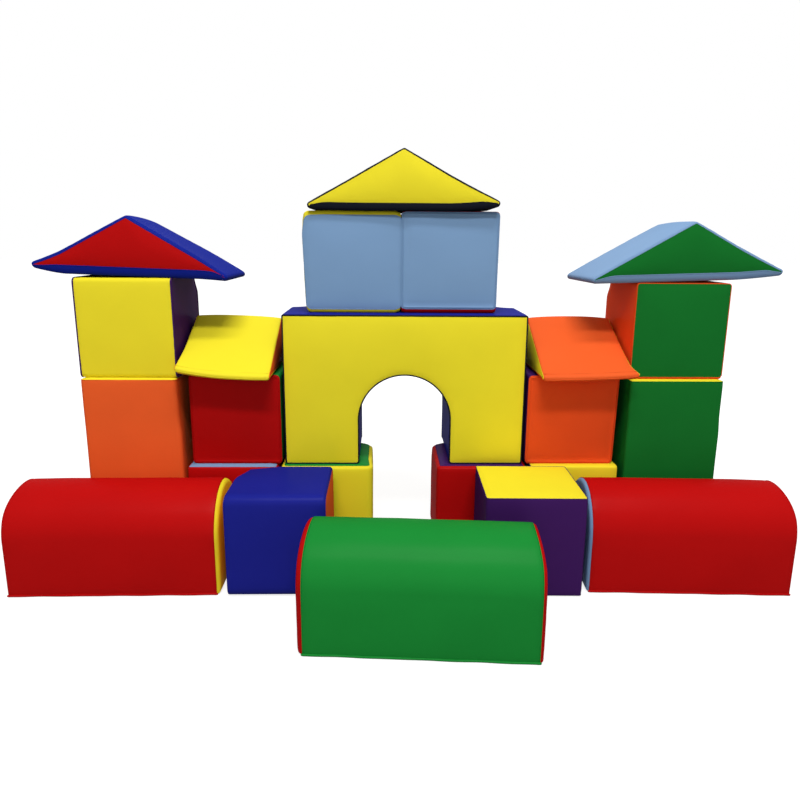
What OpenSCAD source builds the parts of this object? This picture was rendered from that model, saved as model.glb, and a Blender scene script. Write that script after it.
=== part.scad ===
// Giant soft play building blocks stacked as a castle gate with two towers.
// Each block is a cut foam core inside a sewn vinyl cover: one band of vinyl is wrapped
// round the foam and two end panels of another colour are sewn to it along a raised seam.
// X runs across the front, Y away from the viewer and Z up from the floor. Millimetres.

/* [Cube blocks] */
// Side of a cube block
cube_side = 300; // [270:1:330]
// Height of a cube that little rests on, so that its foam stands fuller
free_height = 314; // [280:1:340]
// Side of the two cubes of the keep, which are packed fuller
keep_side = 312; // [280:1:340]
// Height of the two cubes of the keep
keep_height = 320; // [290:1:350]

/* [Towers] */
// Side of the blocks of a tower, which are packed a little fuller
tower_side = 308; // [280:1:335]
// Height of the tall block that each tower stands on
column_height = 594; // [540:1:650]

/* [Half-round blocks] */
// Length of a half-round block, over its end panels
half_round_length = 604; // [540:1:660]
// Width of a half-round block at its base
half_round_width = 282; // [250:1:310]
// Height of a half-round block, straight sides and vault together
half_round_height = 310; // [270:1:350]

/* [Arch block] */
// Width of the arch block
arch_width = 792; // [730:1:850]
// Height of the arch block
arch_height = 498; // [440:1:560]
// Depth of the arch block, over its end panels
arch_depth = 300; // [260:1:340]
// Width of the doorway through the arch block
doorway_width = 300; // [240:1:340]
// Height of the doorway to the crown of its round head
doorway_height = 300; // [250:1:340]

/* [Roof blocks] */
// Width of a roof block across its base
roof_base = 600; // [520:1:660]
// Height of a roof block from its base to the ridge
roof_height = 183; // [140:1:230]
// Length of a roof block along its ridge, over its end panels
roof_length = 300; // [260:1:320]
// Radius of the ridge and of the two blunt toes of a roof block
roof_edge_radius = 11; // [6:0.5:14]

/* [Sewing] */
// Radius of the edges where the band folds round the foam
edge_radius = 14; // [8:0.5:22]
// Rise of a free end panel at its middle
panel_crown = 7; // [3:0.5:12]
// Rise of the band at the middle of a free side
band_crown = 3; // [1:0.5:6]
// Thickness of the vinyl
cover_thickness = 1.2; // [0.8:0.1:2]
// Clearance between the foam and its cover
cover_clearance = 0.3; // [0.2:0.1:1]
// Height of the raised seam round each end panel
seam_height = 1; // [0.5:0.1:1.6]
// Width of the raised seam
seam_width = 3; // [2:0.5:5]

/* [Layout across the front] */
// How far a gate base cube reaches out past the end of the arch
gate_overhang = 16; // [5:1:40]
// Gap between a gate base cube and the wall base cube beside it
base_gap = 4; // [3:0.5:12]
// Gap between the arch and the wall cube beside it
arch_gap = 6; // [4:0.5:20]
// Gap between a tower and the wall beside it
tower_gap = 10; // [5:0.5:25]
// Gap between the two cubes of the keep
keep_gap = 3; // [2:0.5:10]
// How far the keep stands left of the middle of the arch
keep_offset = 13; // [0:1:30]
// How far the left roof stands in from its tower
left_roof_offset = 27; // [0:1:40]
// How far the right roof stands out from its tower
right_roof_offset = 19; // [0:1:30]
// Gap between a lean-to roof and the tower beside it
lean_to_gap = 3; // [2:0.5:15]
// How far a front cube stands in behind the end of the front half-round
front_cube_overlap = 70; // [40:1:100]
// Gap between the left front cube and the half-round beside it
left_front_gap = 30; // [20:1:60]
// Gap between the right front cube and the half-round beside it
right_front_gap = 22; // [20:1:60]
// How far the front half-round stands right of the middle
front_half_round_offset = 32; // [0:1:60]

/* [Layout in depth] */
// How far the gate base cubes stand in front of the arch
gate_advance = 30; // [0:1:45]
// How far the wall base cubes stand in front of the arch
wall_base_advance = 34; // [0:1:45]
// How far the tower columns stand in front of the arch
tower_advance = 44; // [0:1:60]
// How far a tower's upper block stands back from the front of its column
tower_top_setback = 14; // [0:1:40]
// How far the cubes of the keep stand back from the arch front
keep_setback = 28; // [0:1:60]
// How far the toe of a lean-to roof reaches in front of the arch
lean_to_advance = 104; // [60:1:150]
// Gap between the blocks in front and the most forward base cube
front_row_gap = 8; // [6:1:40]
// Gap between the front half-round and the front cubes
front_half_round_gap = 10; // [8:1:40]

/* [Turns, in degrees] */
// Turn of the front half-round
front_half_round_turn = -4.3; // [-8:0.1:8]
// Turn of the left half-round
left_half_round_turn = 0.6; // [-3:0.1:3]
// Turn of the right half-round
right_half_round_turn = -2.6; // [-3:0.1:3]
// Turn of the cube in front of the right gate base
front_right_cube_turn = -1.2; // [-2:0.1:2]

/* [Hidden] */
round_steps = 96;
corner_steps = 5;
crown_steps = 6;
cut_margin = 5;

red = "#c81414";
green = "#1f9a3c";
yellow = "#f0d82e";
orange = "#f0682c";
sky = "#7ea6d4";
blue = "#26289a";
navy = "#191c2c";
purple = "#43206b";
foam = "#e9dfb8";

// Heights at which the courses stand
first_course = cube_side;
second_course = 2 * cube_side;
left_tower_height = column_height + free_height;
right_tower_height = column_height + cube_side;
arch_top = first_course + arch_height;
keep_top = arch_top + keep_height;

// Places across the front, measured from the middle of the arch
gate_x = (arch_width - cube_side) / 2 + gate_overhang;
wall_base_x = gate_x + cube_side + base_gap;
wall_x = (arch_width + cube_side) / 2 + arch_gap;
tower_x = max(wall_base_x, wall_x) + (cube_side + tower_side) / 2 + tower_gap;
keep_x = (keep_side + keep_gap) / 2;
lean_to_x = tower_x - (tower_side + roof_length) / 2 - lean_to_gap;
front_cube_x = (half_round_length + cube_side) / 2 - front_cube_overlap;
half_round_x = front_cube_x + (half_round_length + cube_side) / 2;

// Places in depth, measured from the front of the arch
row_y = cube_side / 2;
front_line = -max(gate_advance, wall_base_advance, tower_advance) - front_row_gap;
front_cube_y = front_line - cube_side / 2;
lean_to_y = roof_base / 2 - lean_to_advance;
keep_y = keep_setback + keep_side / 2;
tower_y = tower_side / 2 - tower_advance;
tower_top_y = tower_y + tower_top_setback;
tower_roof_y = tower_top_y - (tower_side - roof_length) / 2;

// A turned block stands forward by what its turn swings back
function swing(length, turn) = length / 2 * abs(sin(turn));
function half_round_y(turn) =
    front_line - half_round_width / 2 - swing(half_round_length, turn);
front_half_round_y = front_cube_y - (cube_side + half_round_width) / 2 - front_half_round_gap
    - swing(half_round_length, front_half_round_turn);

// Every block: name, form, axis of its end panels, middle of its base, turn, band and end colours
BLOCKS = [
    ["gate_left_base", "cube", "z", [-gate_x, row_y - gate_advance, 0], 0, yellow, green],
    ["gate_right_base", "cube", "z", [gate_x, row_y - gate_advance, 0], 0, red, purple],
    ["left_wall_base", "cube", "z", [-wall_base_x, row_y - wall_base_advance, 0], 0, red, sky],
    ["right_wall_base", "cube", "x", [wall_base_x, row_y - wall_base_advance, 0], 0, yellow, blue],
    ["left_tower_column", "column", "z", [-tower_x, tower_y, 0], 0, orange, yellow],
    ["right_tower_column", "column", "z", [tower_x, tower_y, 0], 0, green, yellow],
    ["left_wall_cube", "cube", "y", [-wall_x, row_y, first_course], 0, green, red],
    ["right_wall_cube", "cube", "y", [wall_x, row_y, first_course], 0, purple, orange],
    ["left_tower_top", "free_tower_cube", "x", [-tower_x, tower_top_y, column_height], 0, yellow, purple],
    ["right_tower_top", "tower_cube", "y", [tower_x, tower_top_y, column_height], 0, orange, green],
    ["arch", "arch", "y", [0, arch_depth / 2, first_course], 0, blue, yellow],
    ["keep_left_cube", "keep_cube", "y", [-keep_offset - keep_x, keep_y, arch_top], 0, yellow, sky],
    ["keep_right_cube", "keep_cube", "y", [-keep_offset + keep_x, keep_y, arch_top], 0, red, sky],
    ["left_lean_to", "roof", "x", [-lean_to_x, lean_to_y, second_course], 0, yellow, orange],
    ["right_lean_to", "roof", "x", [lean_to_x, lean_to_y, second_course], 0, orange, yellow],
    ["left_roof", "roof", "y",
        [left_roof_offset - tower_x, tower_roof_y, left_tower_height], 0, blue, red],
    ["right_roof", "roof", "y",
        [right_roof_offset + tower_x, tower_roof_y, right_tower_height], 0, sky, green],
    ["keep_roof", "roof", "y", [-keep_offset, row_y, keep_top], 0, navy, yellow],
    ["front_left_cube", "free_cube", "x", [-front_cube_x, front_cube_y, 0], 0, blue, orange],
    ["front_right_cube", "free_cube", "z",
        [front_cube_x, front_cube_y - swing(cube_side, front_right_cube_turn), 0],
        front_right_cube_turn, purple, yellow],
    ["left_half_round", "half_round", "x",
        [-half_round_x - left_front_gap, half_round_y(left_half_round_turn), 0],
        left_half_round_turn, red, yellow],
    ["right_half_round", "half_round", "x",
        [half_round_x + right_front_gap, half_round_y(right_half_round_turn), 0],
        right_half_round_turn, red, sky],
    ["front_half_round", "half_round", "x",
        [front_half_round_offset, front_half_round_y, 0], front_half_round_turn, green, red],
];

// Size of a block across its band, along its end axis and up
function block_side(form) = form == "keep_cube" ? keep_side
    : form == "column" || form == "tower_cube" || form == "free_tower_cube" ? tower_side : cube_side;
function width_of(form) = form == "half_round" ? half_round_width : form == "arch" ? arch_width
    : form == "roof" ? roof_base : block_side(form);
function length_of(form) = form == "half_round" ? half_round_length : form == "arch" ? arch_depth
    : form == "roof" ? roof_length : block_side(form);
function height_of(form) = form == "half_round" ? half_round_height : form == "arch" ? arch_height
    : form == "roof" ? roof_height : form == "keep_cube" ? keep_height : form == "column" ? column_height
    : form == "free_cube" || form == "free_tower_cube" ? free_height : cube_side;

// Distance between the two end panels
function span_of(form, axis) = axis == "z" ? height_of(form) : length_of(form);

// Room that a turned block takes along X and along Y
function plan_of(block) = block[2] == "x" ? [length_of(block[1]), width_of(block[1])]
    : [width_of(block[1]), length_of(block[1])];
function room_x(block) = let (plan = plan_of(block), turn = block[4])
    (plan.x * abs(cos(turn)) + plan.y * abs(sin(turn))) / 2;
function room_y(block) = let (plan = plan_of(block), turn = block[4])
    (plan.x * abs(sin(turn)) + plan.y * abs(cos(turn))) / 2;

// The origin is on the floor under the middle of the whole castle
castle_middle = [
    (max([for (block = BLOCKS) block[3].x + room_x(block)])
        + min([for (block = BLOCKS) block[3].x - room_x(block)])) / 2,
    (max([for (block = BLOCKS) block[3].y + room_y(block)])
        + min([for (block = BLOCKS) block[3].y - room_y(block)])) / 2,
    0,
];

// Points of an arc round a corner, and of the crown along a side
function corner_points(middle, radius, start, sweep) =
    [for (k = [0 : corner_steps])
        let (angle = start + sweep * k / corner_steps)
            middle + radius * [cos(angle), sin(angle)]];
function crown_points(corner, run, radius, rise) =
    let (out = [run.y, -run.x] / norm(run))
        [for (k = [1 : crown_steps - 1])
            let (t = k / crown_steps)
                corner + t * run + (radius + 4 * rise * t * (1 - t)) * out];

// Counter-clockwise polygon grown by a radius, with a crown on the sides that have one
module soft_outline(points, radius, crowns) {
    count = len(points);
    runs = [for (k = [0 : count - 1]) points[(k + 1) % count] - points[k]];
    headings = [for (run = runs) atan2(run.y, run.x)];
    polygon([
        for (k = [0 : count - 1])
            let (before = headings[(k + count - 1) % count])
                each concat(
                    corner_points(points[k], radius, before - 90, (headings[k] - before + 360) % 360),
                    crowns[k] > 0 ? crown_points(points[k], runs[k], radius, crowns[k]) : [])
    ]);
}

// Rectangle that stands on the X axis, with crowned sides and a flat top and base
module standing_outline(width, height, grow) {
    side = width / 2 - band_crown - edge_radius;
    soft_outline(
        [[-side, edge_radius], [side, edge_radius],
            [side, height - edge_radius], [-side, height - edge_radius]],
        edge_radius + grow, [0, band_crown, 0, band_crown]);
}

// Plan of a cube whose end panels are its top and base, with four crowned sides
module plan_outline(width, grow) {
    side = width / 2 - band_crown - edge_radius;
    soft_outline(
        [[-side, -side], [side, -side], [side, side], [-side, side]],
        edge_radius + grow, [for (k = [1 : 4]) band_crown]);
}

// Straight sides under a round vault
module half_round_outline(grow) {
    vault_radius = half_round_width / 2;
    springing = half_round_height - vault_radius;
    side = vault_radius - edge_radius;
    soft_outline(
        [[-side, edge_radius], [side, edge_radius], [side, springing], [-side, springing]],
        edge_radius + grow, [0, 0, 0, 0]);
    translate([0, springing])
        circle(vault_radius + grow, $fn = round_steps);
}

// Doorway with a round head, open at the base
module doorway_outline(grow) {
    head_radius = doorway_width / 2;
    springing = doorway_height - head_radius;
    translate([-head_radius + grow, -cut_margin])
        square([doorway_width - 2 * grow, springing + cut_margin]);
    translate([0, springing])
        circle(head_radius - grow, $fn = round_steps);
}

module arch_outline(grow) {
    difference() {
        standing_outline(arch_width, arch_height, grow);
        doorway_outline(grow);
    }
}

// Low triangle with blunt toes, a round ridge and crowned slopes
module roof_outline(grow) {
    toe = roof_base / 2 - roof_edge_radius;
    soft_outline(
        [[-toe, roof_edge_radius], [toe, roof_edge_radius], [0, roof_height - roof_edge_radius]],
        roof_edge_radius + grow, [0, band_crown, band_crown]);
}

// Outline of a block's end panel, cut flat where the block rests or carries another
module panel_outline(form, axis, grow) {
    room = width_of(form) + 2 * cut_margin;
    headroom = form == "half_round" || form == "roof" ? cut_margin : 0;
    if (axis == "z")
        plan_outline(width_of(form), grow);
    else
        intersection() {
            translate([-room / 2, 0])
                square([room, height_of(form) + headroom]);
            if (form == "half_round")
                half_round_outline(grow);
            else if (form == "arch")
                arch_outline(grow);
            else if (form == "roof")
                roof_outline(grow);
            else
                standing_outline(width_of(form), height_of(form), grow);
        }
}

// Height of the middle of an end panel, from which its crown falls away
function panel_middle(form, axis) = axis == "z" ? 0 : form == "roof" ? roof_height / 3
    : form == "arch" ? (doorway_height + arch_height) / 2 : height_of(form) / 2;

// Distance from there to the farthest corner of the panel
function panel_reach(form, axis) =
    let (middle = panel_middle(form, axis), across = width_of(form) / 2)
        norm([across, axis == "z" ? across : max(middle, height_of(form) - middle)]);

// Half section of an end panel, from its crowned middle out to a limit past its corners
function panel_profile(length, reach, limit, rise) = rise > 0
    ? [for (k = [0 : crown_steps])
        let (distance = limit * k / crown_steps)
            [distance, length / 2 - rise * pow(distance / reach, 2)]]
    : [[0, length / 2], [limit, length / 2]];

// Round body that ends in the crowns of the two end panels, about the end axis
module end_space(form, axis, grow, spread = 0) {
    length = span_of(form, axis) + 2 * grow;
    reach = panel_reach(form, axis);
    limit = reach + cut_margin + spread;
    low = panel_profile(length, reach, limit, axis == "z" ? 0 : panel_crown);
    high = panel_profile(length, reach, limit, form == "free_cube" || axis != "z" ? panel_crown : 0);
    translate([0, panel_middle(form, axis), 0])
        rotate_extrude($fn = round_steps)
            polygon(concat(
                [for (k = [len(low) - 1 : -1 : 0]) [low[k].x, -low[k].y]],
                high));
}

// A block without its seams, with its faces moved out by grow and its ends by end_grow
module block_solid(form, axis, grow, end_grow) {
    intersection() {
        linear_extrude(span_of(form, axis) + 2 * cut_margin, center = true)
            panel_outline(form, axis, grow);
        end_space(form, axis, end_grow);
    }
}

// The two end panels, which stand out past the band as a raised seam
module end_panels(form, axis) {
    intersection() {
        linear_extrude(span_of(form, axis) + 2 * cut_margin, center = true)
            panel_outline(form, axis, seam_height);
        difference() {
            end_space(form, axis, 0);
            end_space(form, axis, -seam_width, cut_margin);
        }
    }
}

module foam_core(block) {
    inset = cover_thickness + cover_clearance;
    color(foam)
        block_solid(block[1], block[2], -inset, -inset);
}

module vinyl_cover(block) {
    difference() {
        union() {
            color(block[5])
                block_solid(block[1], block[2], 0, -seam_width / 2);
            color(block[6])
                end_panels(block[1], block[2]);
        }
        block_solid(block[1], block[2], -cover_thickness, -cover_thickness);
    }
}

// Turns a block's end axis from Z to its own axis and stands the block in its place
module place(block) {
    translate(block[3] - castle_middle)
        rotate(block[4]) {
            if (block[2] == "z")
                translate([0, 0, height_of(block[1]) / 2])
                    children();
            else
                rotate([90, 0, block[2] == "x" ? 90 : 0])
                    children();
        }
}

for (block = BLOCKS) {
    place(block) foam_core(block);
    place(block) vinyl_cover(block);
}
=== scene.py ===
import math

import bpy
import numpy as np
from mathutils import Matrix, Vector, noise
from mathutils.geometry import delaunay_2d_cdt


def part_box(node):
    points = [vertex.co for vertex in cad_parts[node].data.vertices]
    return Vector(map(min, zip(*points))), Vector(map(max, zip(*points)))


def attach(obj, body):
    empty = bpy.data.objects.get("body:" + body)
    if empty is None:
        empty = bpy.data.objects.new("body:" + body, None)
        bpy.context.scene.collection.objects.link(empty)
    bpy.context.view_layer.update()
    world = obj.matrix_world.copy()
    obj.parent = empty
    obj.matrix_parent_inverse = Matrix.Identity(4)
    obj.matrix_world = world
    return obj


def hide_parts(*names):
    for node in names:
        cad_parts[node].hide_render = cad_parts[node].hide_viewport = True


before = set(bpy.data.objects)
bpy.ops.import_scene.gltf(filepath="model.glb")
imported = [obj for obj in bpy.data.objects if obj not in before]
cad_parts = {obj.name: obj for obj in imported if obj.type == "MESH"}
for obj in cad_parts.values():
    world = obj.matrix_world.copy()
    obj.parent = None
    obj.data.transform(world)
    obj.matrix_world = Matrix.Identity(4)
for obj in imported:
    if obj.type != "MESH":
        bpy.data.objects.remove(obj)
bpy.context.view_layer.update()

# camera at the photo's viewpoint, measured from the middle of the arch's front
archLow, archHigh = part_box("arch_cover")
camera = {"place": ((archLow.x + archHigh.x) / 2 - 0.067, archLow.y - 2.210, 1.030),
          "yaw": -1.35, "pitch": 13.06, "roll": 0.43, "lens": 31.15, "sensor": 36}


def setCamera(look):
    yaw, pitch, roll = (math.radians(look[key]) for key in ("yaw", "pitch", "roll"))
    ahead = Vector((-math.sin(yaw) * math.cos(pitch), math.cos(yaw) * math.cos(pitch), -math.sin(pitch)))
    right = ahead.cross(Vector((0, 0, 1))).normalized()
    up = right.cross(ahead)
    tiltedRight = right * math.cos(roll) + up * math.sin(roll)
    tiltedUp = up * math.cos(roll) - right * math.sin(roll)
    data = bpy.data.cameras.new("camera")
    data.lens = look["lens"]
    data.sensor_width = look["sensor"]
    eye = bpy.data.objects.new("camera", data)
    bpy.context.scene.collection.objects.link(eye)
    axes = Matrix((tiltedRight, tiltedUp, -ahead)).transposed().to_4x4()
    eye.matrix_world = Matrix.Translation(look["place"]) @ axes
    bpy.context.scene.camera = eye


setCamera(camera)
bpy.context.scene.view_settings.view_transform = "Standard"

# two long ceiling tubes in front of the castle give the soft shadow edges under the roofs, and a window
# behind it keeps its back from going dark
lamps = {
    "frontTubes": {"place": (-0.1, -3.9, 5.8), "aim": (0, 0, 0.6), "long": 3.2, "wide": 0.6, "watts": 177},
    "highTubes": {"place": (0.3, -2.1, 6.5), "aim": (0, 0, 0.6), "long": 3.2, "wide": 0.6, "watts": 157},
    "fill": {"place": (-0.2, -3.6, 1.3), "aim": (0, 0, 0.5), "long": 1.6, "wide": 1.6, "watts": 9},
    "behind": {"place": (0.0, 4.8, 3.6), "aim": (0, 0, 0.5), "long": 3.4, "wide": 2.0, "watts": 90},
}
studio = {
    "sky": 0.37,                        # light from all round
    "floorColour": (0.32, 0.32, 0.32),
    "floorGlow": 0.82,                  # added where the floor is seen, so that it is nearly white
    "fade": (1.25, 2.6),                # and it turns quite white between these distances
    "floorSize": 60,
}


def addLamp(name, look):
    data = bpy.data.lights.new(name, "AREA")
    data.energy = look["watts"]
    data.shape = "RECTANGLE"
    data.size = look["long"]
    data.size_y = look["wide"]
    lamp = bpy.data.objects.new(name, data)
    bpy.context.scene.collection.objects.link(lamp)
    lamp.location = look["place"]
    lamp.rotation_mode = "QUATERNION"
    lamp.rotation_quaternion = (Vector(look["aim"]) - Vector(look["place"])).to_track_quat("-Z", "Y")


def shownRays(tree):
    # one for rays that the viewer sees straight, in a reflection or through glass
    rays = tree.nodes.new("ShaderNodeLightPath")
    seen = rays.outputs["Is Camera Ray"]
    for kind in ("Is Glossy Ray", "Is Transmission Ray"):
        either = tree.nodes.new("ShaderNodeMath")
        either.operation = "MAXIMUM"
        tree.links.new(seen, either.inputs[0])
        tree.links.new(rays.outputs[kind], either.inputs[1])
        seen = either.outputs[0]
    return seen


def ranged(tree, value, spread, result):
    made = tree.nodes.new("ShaderNodeMapRange")
    for key, taken, given in zip(("Min", "Max"), spread, result):
        made.inputs["From " + key].default_value = taken
        made.inputs["To " + key].default_value = given
    tree.links.new(value, made.inputs["Value"])
    return made.outputs["Result"]


def setSky(look):
    # white where the viewer sees it, and dimmer for the light that it gives
    world = bpy.data.worlds.new("studio")
    bpy.context.scene.world = world
    world.use_nodes = True
    tree = world.node_tree
    tree.nodes.clear()
    out = tree.nodes.new("ShaderNodeOutputWorld")
    mix = tree.nodes.new("ShaderNodeMixShader")
    tree.links.new(shownRays(tree), mix.inputs[0])
    for place, strength in ((1, look["sky"]), (2, 1)):
        light = tree.nodes.new("ShaderNodeBackground")
        light.inputs["Color"].default_value = (1, 1, 1, 1)
        light.inputs["Strength"].default_value = strength
        tree.links.new(light.outputs[0], mix.inputs[place])
    tree.links.new(mix.outputs[0], out.inputs["Surface"])


def setFloor(look):
    half = look["floorSize"] / 2
    corners = [(-half, -half, 0), (half, -half, 0), (half, half, 0), (-half, half, 0)]
    mesh = bpy.data.meshes.new("floor")
    mesh.from_pydata(corners, [], [(0, 1, 2, 3)])
    floor = bpy.data.objects.new("floor", mesh)
    bpy.context.scene.collection.objects.link(floor)
    paper = bpy.data.materials.new("studioPaper")
    paper.use_nodes = True
    tree = paper.node_tree
    join = tree.links.new
    tree.nodes.clear()
    out = tree.nodes.new("ShaderNodeOutputMaterial")
    add = tree.nodes.new("ShaderNodeAddShader")
    matt = tree.nodes.new("ShaderNodeBsdfDiffuse")
    matt.inputs["Color"].default_value = (*look["floorColour"], 1)
    glow = tree.nodes.new("ShaderNodeEmission")
    # white far out, so that the floor has no edge against the sky
    spot = tree.nodes.new("ShaderNodeTexCoord")
    away = tree.nodes.new("ShaderNodeVectorMath")
    away.operation = "LENGTH"
    join(spot.outputs["Object"], away.inputs[0])
    whiter = ranged(tree, away.outputs["Value"], look["fade"], (look["floorGlow"], 1))
    strength = tree.nodes.new("ShaderNodeMath")
    strength.operation = "MULTIPLY"
    join(shownRays(tree), strength.inputs[0])
    join(whiter, strength.inputs[1])
    join(strength.outputs[0], glow.inputs["Strength"])
    join(matt.outputs[0], add.inputs[0])
    join(glow.outputs[0], add.inputs[1])
    join(add.outputs[0], out.inputs["Surface"])
    mesh.materials.append(paper)


for lampName, lampLook in lamps.items():
    addLamp(lampName, lampLook)
setSky(studio)
setFloor(studio)
print("camera, lamps and floor set")

# coated vinyl, one look for each colour, in the 8-bit values of a screen
vinyls = {
    "red": {"colour": (188, 15, 15), "shade": 0.95, "gloss": 0.42},
    "green": {"colour": (27, 136, 52), "shade": 0.95, "gloss": 0.44},
    "deep_green": {"colour": (22, 114, 42), "shade": 0.95, "gloss": 0.44, "slot": "green"},
    "yellow": {"colour": (246, 229, 48), "shade": 0.97, "gloss": 0.44},
    "orange": {"colour": (242, 99, 44), "shade": 0.96, "gloss": 0.44},
    "deep_orange": {"colour": (243, 85, 35), "shade": 0.96, "gloss": 0.44, "slot": "orange"},
    "light_blue": {"colour": (127, 161, 200), "shade": 0.97, "gloss": 0.46},
    "blue": {"colour": (30, 36, 141), "shade": 0.94, "gloss": 0.36, "lacquer": 0.06},
    "roof_blue": {"colour": (22, 38, 146), "shade": 0.94, "gloss": 0.42, "lacquer": 0.03, "slot": "blue"},
    "navy": {"colour": (26, 29, 42), "shade": 0.94, "gloss": 0.42},
    "purple": {"colour": (64, 28, 94), "shade": 0.94, "gloss": 0.42},
}
vinylGrain = {
    "pebble": 520, "pebbleDepth": 0.00016, "pebbleStrength": 0.3,
    "ripple": 22, "rippleDepth": 0.0006, "rippleStrength": 0.35,
    "cloud": 6, "cloudRange": (0.30, 0.62),
    "rubFiner": 2.6, "rubRange": (0.3, 0.7), "rubGloss": (-0.05, 0.08),
    "seamDirt": 0.72, "lacquer": 0.07, "lacquerGloss": 0.8,
}


def toLinear(colour):
    return tuple((c / 255 / 12.92) if c <= 10 else ((c / 255 + 0.055) / 1.055) ** 2.4 for c in colour)


def vinylMaterial(name, look, grain):
    vinyl = bpy.data.materials.new("vinyl_" + name)
    vinyl.use_nodes = True
    tree = vinyl.node_tree
    join = tree.links.new
    skin = tree.nodes["Principled BSDF"]
    skin.inputs["Specular IOR Level"].default_value = 0
    skin.inputs["Coat Weight"].default_value = look.get("lacquer", grain["lacquer"])
    skin.inputs["Coat Roughness"].default_value = look["gloss"] * grain["lacquerGloss"]
    spot = tree.nodes.new("ShaderNodeTexCoord").outputs["Object"]
    full = toLinear(look["colour"])
    worn = tuple(c * look["shade"] for c in full)

    def field(kind, scale, detail=3.0):
        made = tree.nodes.new(kind)
        made.inputs["Scale"].default_value = scale
        if "Detail" in made.inputs:
            made.inputs["Detail"].default_value = detail
        join(spot, made.inputs["Vector"])
        return made

    def relief(height, strength, depth):
        bump = tree.nodes.new("ShaderNodeBump")
        bump.inputs["Strength"].default_value = strength
        bump.inputs["Distance"].default_value = depth
        join(height, bump.inputs["Height"])
        return bump

    # slow drift of the dye
    cloud = field("ShaderNodeTexNoise", grain["cloud"], detail=5)
    drift = tree.nodes.new("ShaderNodeValToRGB")
    for stop, spread, colour in zip(drift.color_ramp.elements, grain["cloudRange"], (worn, full)):
        stop.position = spread
        stop.color = (*colour, 1)
    join(cloud.outputs["Fac"], drift.inputs["Fac"])
    # handling marks gather along the seams
    seam = tree.nodes.new("ShaderNodeAttribute")
    seam.attribute_name = "seam"
    dirt = tree.nodes.new("ShaderNodeMix")
    dirt.data_type = "RGBA"
    dirt.blend_type = "MULTIPLY"
    dirt.inputs[7].default_value = (grain["seamDirt"],) * 3 + (1,)
    join(seam.outputs["Fac"], dirt.inputs[0])
    join(drift.outputs["Color"], dirt.inputs[6])
    join(dirt.outputs[2], skin.inputs["Base Color"])
    # rubbed patches shine a little more
    rub = field("ShaderNodeTexNoise", grain["cloud"] * grain["rubFiner"], detail=6)
    glosses = [look["gloss"] + change for change in grain["rubGloss"]]
    join(ranged(tree, rub.outputs["Fac"], grain["rubRange"], glosses), skin.inputs["Roughness"])
    # embossed pebbles over a slow ripple
    ripple = field("ShaderNodeTexNoise", grain["ripple"], detail=2)
    slow = relief(ripple.outputs["Fac"], grain["rippleStrength"], grain["rippleDepth"])
    pebble = field("ShaderNodeTexVoronoi", grain["pebble"])
    fine = relief(pebble.outputs["Distance"], grain["pebbleStrength"], grain["pebbleDepth"])
    join(slow.outputs["Normal"], fine.inputs["Normal"])
    join(fine.outputs["Normal"], skin.inputs["Normal"])
    return vinyl


vinylOf = {colour: vinylMaterial(colour, look, vinylGrain) for colour, look in vinyls.items()}
print("vinyl mixed in", len(vinylOf), "colours")

# how the covers are cut and sewn, in metres
sewing = {
    "edge": 0.009,           # band folds round the foam at this radius
    "crown": 0.007,          # free end panel stands this far out at its middle
    "crownStart": 0.004,     # and leaves its seam over this width
    "roundCrown": 0.004,     # crown of a panel whose border is rounded off
    "shoulder": 0.005,       # top and base panels turn down this far to their seams
    "shoulderReach": 0.018,  # and over this width
    "fullness": 0.5,         # lower is fuller near the seams
    "swell": 0.003,          # band stands this far out between its folds
    "slopeSwell": 0.003,     # and this far on the slopes of a roof
    "ridgeBow": 0.003,       # a roof's ridge rises this far between its ends
    "tuck": 0.0012,          # band is drawn in at the seam
    "tuckFade": 0.006,       # over this width
    "inset": 0.0018,         # seam lies this far in from the band's side
    "welt": 0.0014,          # rolled seam's radius
    "weltOut": 0.0004,       # it lies this far outside the seam
    "weltBack": 0.4,         # and this share of its radius behind it
    "dirt": 0.5,             # darkest at the seam, and it spreads this far on a band and on a panel
    "bandDirt": 0.0035,
    "panelDirt": 0.003,
    "trimDirt": 0.3,         # on seam rolls, stitches and lips
    "fill": 0.95,            # how tightly the covers are packed, from 0 to 1
    "step": 0.011,           # size of a mesh face
    "foldBits": 5,           # least number of faces round a fold
}
# steps between the noise seeds of one block's pieces
seedSteps = {"a": 11, "b": 23, "bandGathers": 5, "panelGathers": 2}

forms = {
    "cube": {"width": 0.300, "height": 0.300, "length": 0.300},
    "freeCube": {"width": 0.300, "height": 0.314, "length": 0.300},
    "keepCube": {"width": 0.312, "height": 0.320, "length": 0.312},
    "column": {"width": 0.308, "height": 0.594, "length": 0.308},
    "towerCube": {"width": 0.308, "height": 0.300, "length": 0.308},
    "freeTowerCube": {"width": 0.308, "height": 0.314, "length": 0.308},
    "halfRound": {"width": 0.282, "height": 0.310, "length": 0.604, "foot": 0.007},
    "arch": {"width": 0.792, "height": 0.498, "length": 0.300, "door": 0.300, "doorHeight": 0.300,
             "foot": 0.010},
    "roof": {"width": 0.600, "height": 0.183, "length": 0.300, "toe": 0.011},
}


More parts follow.
